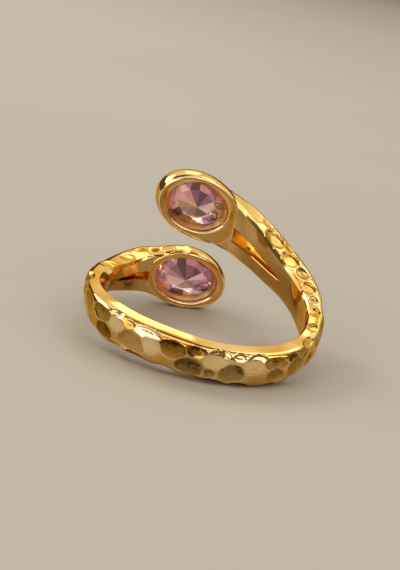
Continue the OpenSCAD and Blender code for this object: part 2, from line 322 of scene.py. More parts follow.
@dataclass(frozen=True)
class PolishedCastGold:
    """Gold-plated brass, lost-wax cast, hammered and polished.

    Polished metal mirrors the room, so each dent shows its own light and dark. A dent's tone above zero
    paints a brown reflection and shade into its colour, strongest on the upper side of the dent; a tone
    below zero paints a pale highlight. Pale lines on the ridges, strongest on the lower side of each dent,
    are edge wear from the polishing wheel and painted highlight, and the undented polished faces get a faint
    painted sheen. The satin inner faces, which the wheel doesn't reach, spread the light to a soft brown
    gold. Seen at a slant, the thin plating keeps a golden tint. A range holds the values that it turns, and
    what it turns them to where that isn't 0 to 1.
    """

    name: str = "polished_cast_gold"
    bright: str = "#F3CC7C"
    warm: str = "#D8A03C"
    # Brown painted into the dents: painted reflection and shade
    hollow: str = "#351A00"
    # Pale colour for edge wear, and for painted highlights, painted sheen and painted light
    worn: str = "#FFEAC0"
    inside: str = "#F0B84E"
    slant: str = "#F4D8A4"
    inside_share: float = 0.8
    polished: float = 0.08
    satin: float = 0.36
    dent_roughness: float = 0.05
    # How pale a dent with a tone below zero is painted: a painted highlight
    burnished: float = 0.68
    # A faint painted sheen on the undented polished faces
    flank_wear: float = 0.12
    tint_patch_mm: float = 3.0
    tint_range: Range = (0.35, 0.62)
    # Noise patches that vary the strength of the painted brown
    patina_patch_mm: float = 0.7
    patina_range: Range = (0.3, 0.7, 0.7, 1.15)
    streak_range: Range = (0.36, 0.64, 0.78, 1.15)
    # The painted shade in a dent grows towards the upper side of its wall
    brown_lift: Range = (-0.85, 0.35, 0.2, 1.0)
    # Pale ridge lines are painted mainly on the lower side of each dent: edge wear and painted highlight
    worn_lift: Range = (-0.4, 0.4, 1.0, 0.15)
    smear_mm: float = 0.6
    smear_range: Range = (0.0, 1.0, 0.7, 1.4)
    hollow_depth_mm: float = 0.05
    ripple_mm: float = 0.45
    ripple_height_mm: float = 0.015
    satin_ripple: float = 0.35
    least_ripple: float = 0.12
    # Real file marks are about 0.03 mm apart; they are drawn this coarse so that they show
    tool_line_mm: float = 0.16
    tool_line_height_mm: float = 0.012
    tool_line_turn: float = 40.0
    tool_line_axis: Triple = (0.3, 1.0, 0.2)
    tool_line_stretch: Triple = (1.0, 0.22, 0.3)
    pit_mm: float = 0.5
    pit_core: float = 0.14
    pit_height_mm: float = 0.04
    detail: float = 3.0

    def make(self) -> bpy.types.Material:
        """Build the material.

        Returns:
            The finished material.
        """
        material, shader, node, mm = start_finish(self.name, 1.0, self.polished)
        names = ("satin", "bite", "tone", "lift", "ridge")
        seen = {n: node(SEEN, attribute_name=n).outputs["Fac"] for n in names}
        seen["mm"] = mm
        seen["in_dent"] = node(RANGE, (seen["bite"], 0.0, self.hollow_depth_mm))
        way = node(MATH, (seen["tone"], self.tool_line_turn), "MULTIPLY")
        spun = node("ShaderNodeVectorRotate", {"Vector": mm, "Angle": way, "Axis": self.tool_line_axis})
        drawn = node("ShaderNodeMapping", {"Vector": spun, "Scale": self.tool_line_stretch})
        seen["lines"] = node(NOISE, {"Vector": drawn, "Scale": 1 / self.tool_line_mm, "Detail": self.detail})
        base = node(RANGE, (seen["satin"], 0.0, 1.0, self.polished, self.satin))
        smears = node(NOISE, {"Vector": mm, "Scale": 1 / self.smear_mm, "Detail": self.detail})
        smeared = node(MATH, (base, node(RANGE, (smears, *self.smear_range))), "MULTIPLY")
        rough = node(MATH, (seen["in_dent"], self.dent_roughness, smeared), "MULTIPLY_ADD")
        feed(shader, {"Base Color": self.colour(node, seen), "Roughness": rough,
                      "Normal": self.relief(node, seen), "Specular Tint": linear(self.slant)})
        return material

    def colour(self, node: Callable, seen: Seen) -> Node:
        """Mix the gold: two tints in soft patches, painted brown reflection and shade high in the dents, and
        pale lines and faces of edge wear, painted highlight and painted sheen.

        Args:
            node: adds a node to the tree.
            seen: what the tree knows of each point.

        Returns:
            The node with the colour.
        """
        mm = seen["mm"]
        blots = node(NOISE, {"Vector": mm, "Scale": 1 / self.tint_patch_mm})
        patches = node(NOISE, {"Vector": mm, "Scale": 1 / self.patina_patch_mm, "Detail": self.detail})
        tint = node(RANGE, (blots, *self.tint_range))
        patchy = node(RANGE, (patches, *self.patina_range))
        streaky = node(RANGE, (seen["lines"], *self.streak_range))
        high = node(RANGE, (seen["lift"], *self.brown_lift))
        # Painted reflection and shade: brown in the dents by each dent's tone, strongest on the upper side
        # of the wall
        brown = seen["in_dent"]
        for share in (seen["tone"], patchy, streaky, high):
            brown = node(MATH, (brown, share), "MULTIPLY", use_clamp=True)
        inner = node(MATH, (seen["satin"], self.inside_share), "MULTIPLY")
        # Pale ridge lines on the lower side of each dent: edge wear and painted highlight
        low = node(RANGE, (seen["lift"], *self.worn_lift))
        # Dents with a tone below zero are painted pale: a painted highlight
        pale = node(RANGE, (seen["tone"], 0.0, -1.0, 0.0, self.burnished))
        # A faint painted sheen on undented polished faces
        flank = node(RANGE, (seen["satin"], 0.0, 1.0, self.flank_wear, 0.0))
        outside = node(MATH, (1.0, seen["in_dent"]), "SUBTRACT")
        worn = 0.0
        for one, other in ((seen["ridge"], low), (pale, seen["in_dent"]), (outside, flank)):
            share = node(MATH, (one, other), "MULTIPLY")
            worn = node(MATH, (worn, share), "MAXIMUM")
        colour = linear(self.warm)
        layers = ((tint, self.bright), (brown, self.hollow), (inner, self.inside), (worn, self.worn))
        for share, tone in layers:
            colour = node(MIX, {0: share, 6: colour, 7: linear(tone)}, data_type="RGBA")
        return colour

    def relief(self, node: Callable, seen: Seen) -> Node:
        """Raise the fine relief: ripples, tool lines and pits.

        Args:
            node: adds a node to the tree.
            seen: what the tree knows of each point.

        Returns:
            The node with the normal.
        """
        waves = node(NOISE, {"Vector": seen["mm"], "Scale": 1 / self.ripple_mm, "Detail": self.detail})
        calm = node(MATH, (seen["satin"], self.satin_ripple, self.least_ripple), "MULTIPLY_ADD")
        share = node(MATH, (calm, seen["in_dent"]), "ADD")
        grains = node("ShaderNodeTexVoronoi", {"Vector": seen["mm"], "Scale": 1 / self.pit_mm})
        pits = node(RANGE, (grains, 0.0, self.pit_core, -1.0, 0.0))
        normal = {}
        for pattern, where, height in ((waves, share, self.ripple_height_mm),
                                       (seen["lines"], seen["in_dent"], self.tool_line_height_mm),
                                       (pits, seen["in_dent"], self.pit_height_mm)):
            raised = node(MATH, (pattern, where), "MULTIPLY")
            relief = {"Height": raised, "Distance": height * MM, "Strength": 1.0}
            bump = node("ShaderNodeBump", relief | normal)
            normal = {"Normal": bump}
        return bump


@dataclass(frozen=True)
class PinkCrystal:
    """Pale pink lead glass, cut and polished.

    It is clear, so the far facets show broken up through the near ones. Each pavilion facet is tinted with a
    painted light or shade, and a weak painted glow, an emission in that tint, stands in for the light that
    the crown throws back.
    """

    name: str = "cut_pink_crystal"
    tint: str = "#FFF2F4"
    streak: str = "#F6DCE2"
    streak_mm: float = 1.2
    streak_range: Pair = (0.35, 0.65)
    index: float = 1.62
    clearness: float = 0.9
    # Strength of the painted glow
    sparkle: float = 0.06

    def make(self) -> bpy.types.Material:
        """Build the material.

        Returns:
            The finished material.
        """
        material, shader, node, mm = start_finish(self.name, 0.0, 0.0)
        shade = node(SEEN, attribute_name="facet_shade").outputs["Color"]
        blots = node(NOISE, {"Vector": mm, "Scale": 1 / self.streak_mm})
        cloudy = node(RANGE, (blots, *self.streak_range))
        glass = node(MIX, {0: cloudy, 6: linear(self.streak), 7: linear(self.tint)}, data_type="RGBA")
        tinted = node(MIX, {0: 1.0, 6: glass, 7: shade}, data_type="RGBA", blend_type="MULTIPLY")
        # A weak painted glow, an emission in each facet's painted tint, though the stone is no lamp
        feed(shader, {"Base Color": tinted, "Emission Color": tinted, "Emission Strength": self.sparkle,
                      "IOR": self.index, "Transmission Weight": self.clearness})
        return material


@dataclass(frozen=True)
class PaleFloor:
    """A plain pale table top of matt paint, with hardly any mottling."""

    name: str = "pale_matt_paint"
    colour: str = "#AFA594"
    light: str = "#B5AB9B"
    roughness: float = 0.65
    mottling_mm: float = 160.0
    mottling_range: Pair = (0.3, 0.7)

    def make(self) -> bpy.types.Material:
        """Build the material.

        Returns:
            The finished material.
        """
        material, shader, node, mm = start_finish(self.name, 0.0, self.roughness)
        blots = node(NOISE, {"Vector": mm, "Scale": 1 / self.mottling_mm})
        mottled = node(RANGE, (blots, *self.mottling_range))
        paint = node(MIX, {0: mottled, 6: linear(self.colour), 7: linear(self.light)}, data_type="RGBA")
        feed(shader, {"Base Color": paint})
        return material


class Column(IntEnum):
    """Columns of the band's table of sections."""

    ANGLE = 0
    MIDDLE = 1
    HALF_WIDTH = 2
    WALL = 3
    BEVEL = 4


@dataclass(frozen=True)
class BandShape:
    """The band's outline around the finger, in millimetres, as the CAD model has it.

    The chart is the band unrolled: arc length, radius and height.
    """

    bore_r: float = 8.6
    flank: float = 0.55
    edge_bevel: float = 0.18
    flank_least: float = 0.1
    arm_flare: float = 0.75
    flare_from: float = 130.0
    flare_span: float = 30.0
    head_zone: float = 150.0
    upper_inset: float = 0.25
    lower_inset: float = 0.08
    arm_step: float = 0.1
    head_depth: float = 2.6
    corner_power: float = 0.55
    chart_r: float = 9.9
    section_step: float = 30.0
    sections: Rows = (
        (-180, -2.61, 2.87, 2.6, 1.1),
        (-150, -2.2, 1.68, 2.7, 1.1),
        (-120, -1, 1.23, 2, 1.7),
        (-90, -0.04, 1.24, 1.52, 2.3),
        (-60, 0.4, 1.52, 1.88, 1.5),
        (-30, 0.55, 1.55, 1.75, 1),
        (0, 0.1, 1.56, 1.8, 1),
        (30, -0.38, 1.5, 1.82, 1),
        (60, -0.66, 1.31, 1.42, 1.1),
        (90, -0.67, 1.59, 1.83, 1.1),
        (120, 0.28, 1.68, 2.68, 1.6),
        (150, 1.97, 2.32, 3.1, 1.9),
        (180, 4.45, 2.8, 2.6, 1.5),
    )

    def along(self, angle: Array, column: Column) -> Array:
        """Read one column of the sections between their angles, on a Catmull-Rom curve.

        Args:
            angle: degrees around the finger.
            column: the column.

        Returns:
            The values at those angles.
        """
        rows = np.array(self.sections)
        x = (np.asarray(angle, float) - rows[0, Column.ANGLE]) / self.section_step
        i = np.minimum(np.floor(x).astype(int), len(rows) - 2)
        a, b, c, d = (rows[np.clip(i + k, 0, len(rows) - 1), column] for k in (-1, 0, 1, 2))
        t = x - i
        return b + 0.5 * t * (c - a + t * (2 * a - 5 * b + 4 * c - d + t * (3 * (b - c) + d - a)))

    def on_chart(self, angle: Array, r: Array, z: Array) -> Array:
        """Put points on the chart."""
        return columns(np.radians(angle) * self.chart_r, r, z)

    def face_drop(self, angle: Array, depth: float | Array) -> Array:
        """Give how far from the hole's wall a plane stands that lies this deep behind the heads' faces."""
        return (self.bore_r + depth) / np.cos(np.radians(180 - np.abs(angle))) - self.bore_r

    def flare(self, angle: Array) -> Array:
        """Give how far the arms lean out from the round hole.

        Args:
            angle: degrees around the finger.

        Returns:
            The distance from the finger hole's wall to the band's inner face.
        """
        lean = self.arm_flare * smooth_step((np.abs(angle) - self.flare_from) / self.flare_span)
        inset = np.where(np.asarray(angle) > 0, self.upper_inset, self.lower_inset)
        return np.where(np.abs(angle) > self.head_zone, np.minimum(lean, self.face_drop(angle, inset)), lean)

    def wall(self, angle: Array) -> Array:
        """Give the wall's thickness at the crest of the section.

        Args:
            angle: degrees around the finger.

        Returns:
            The thickness from the inner face outwards.
        """
        full = self.along(angle, Column.WALL)
        drop = self.face_drop(angle, self.head_depth - self.arm_step) - self.flare(angle)
        return np.where(np.abs(angle) > self.head_zone, np.minimum(full, drop), full)

    def bevel(self, angle: Array) -> Array:
        """Give the width of the inner edges' bevel."""
        return np.minimum(self.edge_bevel * self.along(angle, Column.BEVEL), self.flank - self.flank_least)

    def outer(self, angle: Array, turn: Array) -> tuple[Array, Array]:
        """Give points of the undented outer face, and the way out of it, on the chart.

        Args:
            angle: degrees around the finger.
            turn: degrees around the section, 0 outward and 90 up.

        Returns:
            The points and the unit normals.
        """
        angle, turn = np.broadcast_arrays(np.asarray(angle, float), np.asarray(turn, float))
        depth = self.wall(angle) - self.flank
        half = self.along(angle, Column.HALF_WIDTH)
        c, s = np.cos(np.radians(turn)), np.sin(np.radians(turn))
        r = self.bore_r + self.flank + self.flare(angle) + depth * signed_power(c, self.corner_power)
        z = self.along(angle, Column.MIDDLE) + half * signed_power(s, self.corner_power)
        out = signed_power(c, 2 - self.corner_power) / depth
        up = signed_power(s, 2 - self.corner_power) / half
        size = np.hypot(out, up)
        return self.on_chart(angle, r, z), columns(0 * out, out / size, up / size)

    def skin_normal(self, angle: Array, turn: Array) -> Array:
        """Give the way out of the skin, leaning where the band rises or falls.

        Args:
            angle: degrees around the finger.
            turn: degrees around the section.

        Returns:
            The unit normals on the chart.
        """
        square = self.outer(angle, turn)[1]
        run = self.outer(angle + 1, turn)[0] - self.outer(angle - 1, turn)[0]
        square[:, 0] = -(square * run).sum(axis=1) / run[:, 0]
        return square / np.linalg.norm(square, axis=1, keepdims=True)


class Draw(IntEnum):
    """Where the repeatable numbers for each use start."""

    PLACE = 0
    TONE = 40
    TIP = 70
    STRAY = 300
    TURN = 500
    RADIUS = 900


@dataclass(frozen=True)
class HammerDents:
    """Where the dents are: a table of those that show, and loose rows elsewhere.

    The table gives the angle around the finger, the turn around the section, the radius, the depth as a
    share of the usual one, the tone, which paints light and shade into the dent's colour, from 1 for a
    painted brown reflection and shade to -1 for a pale painted highlight, and how many degrees its floor
    tips up, which no two blows of a hammer have the same.
    """

    share: float = 0.2
    pitch: float = 13.0
    band_end: float = 178.0
    plain_end: float = 8.0
    flatness: float = 0.85
    rows: tuple[float, ...] = (-52.0, -14.0, 24.0, 60.0)
    loose_place: float = 0.25
    loose_turn: float = 9.0
    loose_radius: Pair = (0.95, 0.25)
    # Loose dents get a painted brown reflection and shade of random strength
    loose_tone: Pair = (0.5, 0.5)
    loose_tip: float = 6.0
    # Past the first angle, short of the second and above the turn, the table holds all the dents
    near_side: Triple = (-88.0, 54.0, -25.0)
    arm_tops: Triple = (-110.0, 58.0, 50.0)
    seed_step: float = 127.1
    seed_spread: float = 437.5
    steepest: float = 0.95
    side_tip: float = 0.5
    side_limit: float = 0.3
    shown: Rows = (
        (-78, 10, 1.3, 0.7, 0.8, 0), (-62, 21, 1.45, 0.7, 0.85, 2), (-59, -10, 1.4, 0.35, 0.9, 0),
        (-53, 60, 0.65, 0.9, -1, -8), (-51, 15, 0.9, 0.9, -0.9, 8), (-45, 42, 0.7, 1, 0.1, 0),
        (-42, -3, 1.3, 0.8, 0.3, -4), (-35, 38, 1.25, 0.9, -1, 7), (-32, 2, 0.9, 0.9, -0.9, 8),
        (-22, 14, 1.2, 1, 1, 8), (-11.5, 32, 0.95, 1, 1, 2), (-13.5, -7, 1.3, 0.4, 0.9, 0),
        (-1, 44, 0.85, 1.25, -0.5, 0), (-2.5, 13, 1.05, 1, -0.7, 8), (8.5, 44, 0.65, 1.25, -0.8, 0),
        (17.5, 44, 0.85, 1.25, -0.7, 0), (15, 11, 1, 1, -0.5, 8), (5, -3, 1.1, 0.8, 0.75, 0),
        (-5, -8, 0.65, 0.5, 0.8, 0), (26, 20, 1.1, 0.8, 0.75, 6), (31, 7, 0.55, 1, 0.3, 0),
        (38, 30, 0.8, 0.9, 0.7, 6), (46.5, 25, 1, 0.8, 0.55, 0), (41, -1, 1.25, 0.7, 0.6, 0),
        (27, -6, 1, 0.7, 0.6, 0), (-124.5, 86, 0.9, 0.8, 0.35, 8), (-144, 86, 0.75, 0.8, 0.15, 0),
        (-155, 80, 0.5, 0.8, 0.3, -6), (-161, 86, 0.45, 1, 0.9, 0), (-166, 86, 0.45, 0.8, 0, 0),
        (-172, 86, 0.5, 0.6, 0.4, -6), (152, 84, 1.1, 0.6, 0, 0), (145, 72, 0.8, 0.7, 0.3, 6),
        (137, 86, 1.15, 0.7, 0.6, 0), (130.5, 70, 0.6, 0.9, 0.5, -6), (124, 86, 1, 0.8, 0.15, 0),
        (114.5, 80, 0.85, 0.9, 0.6, 4), (103, 86, 0.9, 0.9, 0.4, -6), (93, 86, 0.65, 1, 0.35, 4),
        (83, 86, 0.65, 1, 0.3, -6), (68.5, 86, 0.7, 1, 0.4, 4),
    )

    def scatter(self, i: int) -> float:
        """Return a repeatable number between -1 and 1 for a dent's number."""
        x = math.sin(math.radians(i * self.seed_step)) * self.seed_spread
        return 2 * (x - math.floor(x)) - 1

    def wanted(self, angle: float, turn: float) -> bool:
        """Tell whether a loose dent is wanted somewhere.

        Args:
            angle: degrees around the finger.
            turn: degrees around the section.

        Returns:
            False past the band's plain ends, and where the table holds all the dents.
        """
        near, arms = self.near_side, self.arm_tops
        on_near_side = near[0] < angle < near[1] and turn > near[2]
        on_arm_tops = not arms[0] < angle < arms[1] and turn > arms[2]
        return abs(angle) < self.band_end - self.plain_end and not on_near_side and not on_arm_tops

    def all_dents(self) -> Array:
        """List the dents of the table and the loose ones.

        Returns:
            One row for each dent, with the table's columns.
        """
        dents = list(self.shown)
        in_row = math.floor(2 * self.band_end / self.pitch)
        for row, row_turn in enumerate(self.rows):
            for i in range(in_row):
                loose = {use: self.scatter(row * in_row + i + use) for use in Draw}
                place_in_row = i + row % 2 / 2 + self.loose_place * loose[Draw.PLACE]
                angle = -self.band_end + self.plain_end + place_in_row * self.pitch
                turn = row_turn + self.loose_turn * loose[Draw.TURN]
                if self.wanted(angle, turn):
                    tone = self.loose_tone[0] + self.loose_tone[1] * loose[Draw.TONE]
                    radius = self.loose_radius[0] + self.loose_radius[1] * loose[Draw.RADIUS]
                    dents.append((angle, turn, radius, 1.0, tone, self.loose_tip * loose[Draw.TIP]))
        return np.array(dents)

    def balls(self, shape: BandShape) -> dict[str, Array]:
        """Work out the ball that bites each dent.

        Args:
            shape: the band.

        Returns:
            For each ball its centre on the chart, its radius, depth and tone, the way that the dent
            grows deeper, as the share that it gains for each millimetre, and the way up its wall.
        """
        angle, turn, reach, share, tone, tip = self.all_dents().T
        depth = reach * self.share * share
        radius = (reach ** 2 + depth ** 2) / (2 * depth)
        away = (radius - depth)[:, None] * shape.skin_normal(angle, turn)
        half_degree = 0.5
        up = shape.outer(angle, turn + half_degree)[0] - shape.outer(angle, turn - half_degree)[0]
        up /= np.linalg.norm(up, axis=1, keepdims=True)
        stray = np.array([self.scatter(i + Draw.STRAY) for i in range(len(tip))]) * self.loose_tip
        steepest = self.steepest / reach
        gain = np.tan(np.radians(tip)) / (depth * self.flatness)
        sideways = np.tan(np.radians(stray)) / (depth * self.flatness) * self.side_tip
        lean = np.clip(gain, -steepest, steepest)[:, None] * up
        lean[:, 0] += np.clip(sideways, -self.side_limit * steepest, self.side_limit * steepest)
        return {"centre": shape.outer(angle, turn)[0] + away, "lean": lean, "up": up / reach[:, None],
                "radius": radius, "depth": depth, "tone": tone}


@dataclass
class Hammering:
    """Geometry Nodes that beat the dents into the band's skin one after another.

    The skin brings where each point lies on the chart and which way is inward. Each round takes
    one ball and keeps the deepest bite, the one before it, the ball's own tone, and how far up the
    dent's wall the point lies. Two bites of the same depth meet in a ridge.

    The fields are the tree's inputs: how deep a flattened dent is, as a share of the round one, and then
    millimetres: how far two dents round off where they meet, how wide the pale line of edge wear and painted
    highlight on a ridge is, in depth of bite, how deep and how large the uneven ground inside the dents is,
    and how much the polishing takes off all over.
    """

    flatness: float
    ridge_softness: float = 0.015
    ridge_width: float = 0.04
    relief: float = 0.02
    relief_size: float = 0.9
    polish: float = 0.02

    KEPT = ("bite", "second", "tone", "lift")
    BALL = {"centre": "FLOAT_VECTOR", "lean": "FLOAT_VECTOR", "up": "FLOAT_VECTOR",
            "radius": "FLOAT", "depth": "FLOAT", "tone": "FLOAT"}
    DENTED_FROM_MM = 0.004
    GROUND_FROM_MM = 0.1
    GROUND_POWER = 2.0
    BEND_SCALE = 1.4
    BEND_MM = (0.6, 0.6, 0.6)

    def __post_init__(self) -> None:
        """Build the tree."""
        self.sizes = {f.name.replace("_", " ").title(): getattr(self, f.name) for f in fields(self)}
        self.tree = bpy.data.node_groups.new("hammering", "GeometryNodeTree")
        self.node = partial(add_node, self.tree)
        sockets = [("Geometry", "INPUT", "Geometry"), ("Dents", "INPUT", "Object")]
        sockets += [(name, "INPUT", "Float") for name in self.sizes]
        sockets += [("Finish", "INPUT", "Material"), ("Geometry", "OUTPUT", "Geometry")]
        for name, way, kind in sockets:
            self.tree.interface.new_socket(name, in_out=way, socket_type=f"NodeSocket{kind}")
        self.given = self.node("NodeGroupInput").outputs
        beaten = self.pushed_in(self.all_bites())
        real = self.node("GeometryNodeRealizeInstances", {"Geometry": beaten})
        dressed = self.node("GeometryNodeSetMaterial", {"Geometry": real, "Material": self.given["Finish"]})
        self.node("NodeGroupOutput", {"Geometry": dressed})

    def all_bites(self) -> Socket:
        """Go through the dents one by one.

        Returns:
            The skin with the depth of the deepest bite, of the next one, the dent's tone and the lift.
        """
        node = self.node
        dents = node("GeometryNodeObjectInfo", {"Object": self.given["Dents"]}).outputs["Geometry"]
        count = node("GeometryNodeAttributeDomainSize", {"Geometry": dents}).outputs["Point Count"]
        start, end = node("GeometryNodeRepeatInput"), node("GeometryNodeRepeatOutput")
        start.pair_with_output(end)
        feed(start, {"Iterations": count, "Geometry": self.given["Geometry"]})
        ball = {}
        for name, kind in self.BALL.items():
            value = node(NAMED, {"Name": f"ball_{name}"}, data_type=kind)
            wanted = {"Geometry": dents, "Value": value, "Index": start.outputs["Iteration"]}
            ball[name] = node("GeometryNodeSampleIndex", wanted, data_type=kind)
        chart = node(NAMED, {"Name": "chart"}, data_type="FLOAT_VECTOR")
        apart = node(VECTOR_MATH, (chart, ball["centre"]), "SUBTRACT")
        away = node(VECTOR_MATH, (apart,), "LENGTH")
        along, own_lift = (node(VECTOR_MATH, (apart, ball[n]), "DOT_PRODUCT") for n in ("lean", "up"))
        round_bite = node(MATH, (ball["radius"], away), "SUBTRACT")
        bite = self.scooped(round_bite, ball["depth"], along)
        last, before, tone, lift = (node(NAMED, {"Name": n}) for n in self.KEPT)
        wins = node(MATH, (bite, last), "GREATER_THAN")
        lesser = node(MATH, (last, bite), "MINIMUM")
        values = (
            ("new_tone", node(MIX, {0: wins, 2: tone, 3: ball["tone"]})),
            ("new_lift", node(MIX, {0: wins, 2: lift, 3: own_lift})),
            ("new_second", node(MATH, (before, lesser), "MAXIMUM")),
            ("new_bite", node(MATH, (last, bite, self.given["Ridge Softness"]), "SMOOTH_MAX")),
            *((name, node(NAMED, {"Name": f"new_{name}"})) for name in self.KEPT),
        )
        skin = start.outputs["Geometry"]
        for name, value in values:
            skin = node(STORE, {"Geometry": skin, "Name": name, "Value": value})
        feed(end, {"Geometry": skin})
        return end.outputs["Geometry"]

    def scooped(self, bite: Node, depth: Node, along: Node) -> Node:
        """Flatten the floor of a dent, steepen its rim and tip it, as a hammer's face leaves it.

        Args:
            bite: how deep the ball goes, below zero outside it.
            depth: how deep it goes at its middle.
            along: the share that the dent gains there by its lean.

        Returns:
            The node with the reshaped bite.
        """
        node = self.node
        reached = node(MATH, (bite, depth), "DIVIDE")
        left = node(MATH, (1.0, reached), "SUBTRACT")
        rim = node(MATH, (left, left), "MULTIPLY")
        full = node(MATH, (1.0, rim), "SUBTRACT")
        deepest = node(MATH, (depth, self.given["Flatness"]), "MULTIPLY")
        floor = node(MATH, (full, deepest), "MULTIPLY")
        tipped = node(MATH, (floor, along, floor), "MULTIPLY_ADD")
        within = node(MATH, (bite, 0.0), "GREATER_THAN")
        return node(MIX, {0: within, 2: bite, 3: tipped})

    def pushed_in(self, skin: Socket) -> Node:
        """Push the skin in by its bites and roughen the ground of the dents.

        Args:
            skin: the skin with its bites.

        Returns:
            The node with the beaten skin, which knows how near each point is to a ridge.
        """
        node = self.node
        chart, inward = (node(NAMED, {"Name": n}, data_type="FLOAT_VECTOR") for n in ("chart", "inward"))
        bite, second = (node(NAMED, {"Name": n}) for n in ("bite", "second"))
        apart = node(MATH, (bite, second), "SUBTRACT")
        near = node(RANGE, (apart, 0.0, self.given["Ridge Width"], 1.0, 0.0))
        dented = node(MATH, (bite, self.DENTED_FROM_MM), "GREATER_THAN")
        ridge = node(MATH, (near, dented), "MULTIPLY")
        skin = node(STORE, {"Geometry": skin, "Name": "ridge", "Value": ridge})
        stray = node(NOISE, {"Vector": chart, "Scale": self.BEND_SCALE, "Detail": 1.0}).outputs["Color"]
        bent = node(VECTOR_MATH, (stray, self.BEND_MM, chart), "MULTIPLY_ADD")
        finer = node(MATH, (1.0, self.given["Relief Size"]), "DIVIDE")
        blows = node("ShaderNodeTexVoronoi", {"Vector": bent, "Scale": finer})
        hollow = node(MATH, (blows, self.GROUND_POWER), "POWER")
        uneven = node(RANGE, (hollow, 0.0, 1.0, self.given["Relief"], 0.0))
        ground = node(RANGE, (bite, 0.0, self.GROUND_FROM_MM))
        deeper = node(MATH, (uneven, ground, bite), "MULTIPLY_ADD")
        deeper = node(MATH, (deeper, self.given["Polish"]), "ADD")
        pushed = node(VECTOR_MATH, {0: inward, "Scale": deeper}, "SCALE")
        return node("GeometryNodeSetPosition", {"Geometry": skin, "Offset": pushed})

    def beat(self, skin: Object, dents: Object, finish: bpy.types.Material) -> None:
        """Run the tree on a skin and keep the result as its mesh.

        Args:
            skin: the band's smooth skin.
            dents: a point for each ball, with what the tree reads of it.
            finish: the metal.
        """
        step = skin.modifiers.new("hammering", "NODES")
        step.node_group = self.tree
        values = {"Dents": dents, "Finish": finish, **self.sizes}
        for socket in self.tree.interface.items_tree:
            if socket.in_out == "INPUT" and socket.name in values:
                step[socket.identifier] = values[socket.name]
        made_plain(skin)


@dataclass
class HammeredBand:
    """The band and its two arms, smooth inside and hammered outside."""

    finish: bpy.types.Material
    shape: BandShape = field(default_factory=BandShape)
    dents: HammerDents = field(default_factory=HammerDents)
    stations: int = 760
    outer_steps: int = 60
    flank_steps: int = 5
    bevel_steps: int = 3
    bevel_bow: float = 0.12
    inner_steps: int = 8
    # The inner face is put here on the chart, where no ball reaches
    out_of_reach: float = 999.0

    def build(self) -> Object:
        """Build the hammered band.

        Returns:
            The band as one closed solid.
        """
        angles = np.linspace(-self.dents.band_end, self.dents.band_end, self.stations)[:, None]
        side = np.linspace(-1, 1, self.outer_steps + 1)
        turns = (90 * np.sign(side) * smooth_step(np.abs(side)))[None, :]
        low, high = self.flank_part(angles, -1), self.flank_part(angles, 1)
        chart, normals = self.shape.outer(angles, turns)
        middle = self.shape.along(angles, Column.MIDDLE)
        half = self.shape.along(angles, Column.HALF_WIDTH) - self.shape.bevel(angles)
        share = np.linspace(1, -1, self.inner_steps + 1)[None, 1:-1]
        r = self.shape.bore_r + self.shape.flare(angles)
        inner = self.shape.on_chart(angles, r, middle + share * half)
        charts = np.concatenate([low[0][:, ::-1], chart, high[0], inner], axis=1)
        outward = np.concatenate([low[1][:, ::-1], normals, high[1], np.zeros(inner.shape)], axis=1)
        grid = np.broadcast_to(angles, charts.shape[:2])
        points = place(grid, charts[..., 1], charts[..., 2]).reshape(-1, 3)
        skin = mesh_object("hammered_band", points, loft_faces(self.stations, charts.shape[1]))
        charts[:, -inner.shape[1]:, 0] = self.out_of_reach
        store(skin, "chart", charts)
        fade = np.minimum(np.linalg.norm(outward, axis=-1, keepdims=True), 1)
        inward = -POSE.turn(place(grid, outward[..., 1], outward[..., 2]))
        store(skin, "inward", inward * MM * fade)
        for name in Hammering.KEPT:
            store(skin, name, np.zeros(charts.shape[:2]))
        balls = self.ball_points()
        Hammering(self.dents.flatness).beat(skin, balls, self.finish)
        bpy.data.objects.remove(balls, do_unlink=True)
        return skin

    def flank_part(self, angles: Array, side: int) -> tuple[Array, Array]:
        """Give one flank and its rounded bevel, from the hammered face inwards.

        Args:
            angles: the stations' angles as a column.
            side: 1 for the upper flank, -1 for the lower.

        Returns:
            The points on the chart, and the way out of the face there, which fades over the bevel.
        """
        shape, bevel = self.shape, self.shape.bevel(angles)
        share = np.linspace(0, 1, self.flank_steps + 1)[None, 1:]
        r = shape.bore_r + shape.flank + shape.flare(angles) - share * (shape.flank - bevel)
        z = shape.along(angles, Column.MIDDLE) + side * shape.along(angles, Column.HALF_WIDTH)
        flat = shape.on_chart(angles, r, z)
        t = np.linspace(0, 1, self.bevel_steps + 1)[None, 1:]
        drop = bevel * (t - self.bevel_bow * np.sin(np.pi * t))
        rounded = flat[:, -1:] - columns(0, drop, side * drop)
        points = np.concatenate([flat, rounded], axis=1)
        way = np.zeros(points.shape)
        way[..., 2] = side * np.concatenate([np.ones(share.shape), 1 - t], axis=1)
        return points, way

    def ball_points(self) -> Object:
        """Make a point for each dent's ball.

        Returns:
            The points as an object that only the tree reads.
        """
        balls = self.dents.balls(self.shape)
        mesh = bpy.data.meshes.new("dent_balls")
        mesh.from_pydata(balls["centre"].tolist(), [], [])
        points = linked("dent_balls", mesh)
        for name in Hammering.BALL:
            store(points, f"ball_{name}", balls[name])
        return points


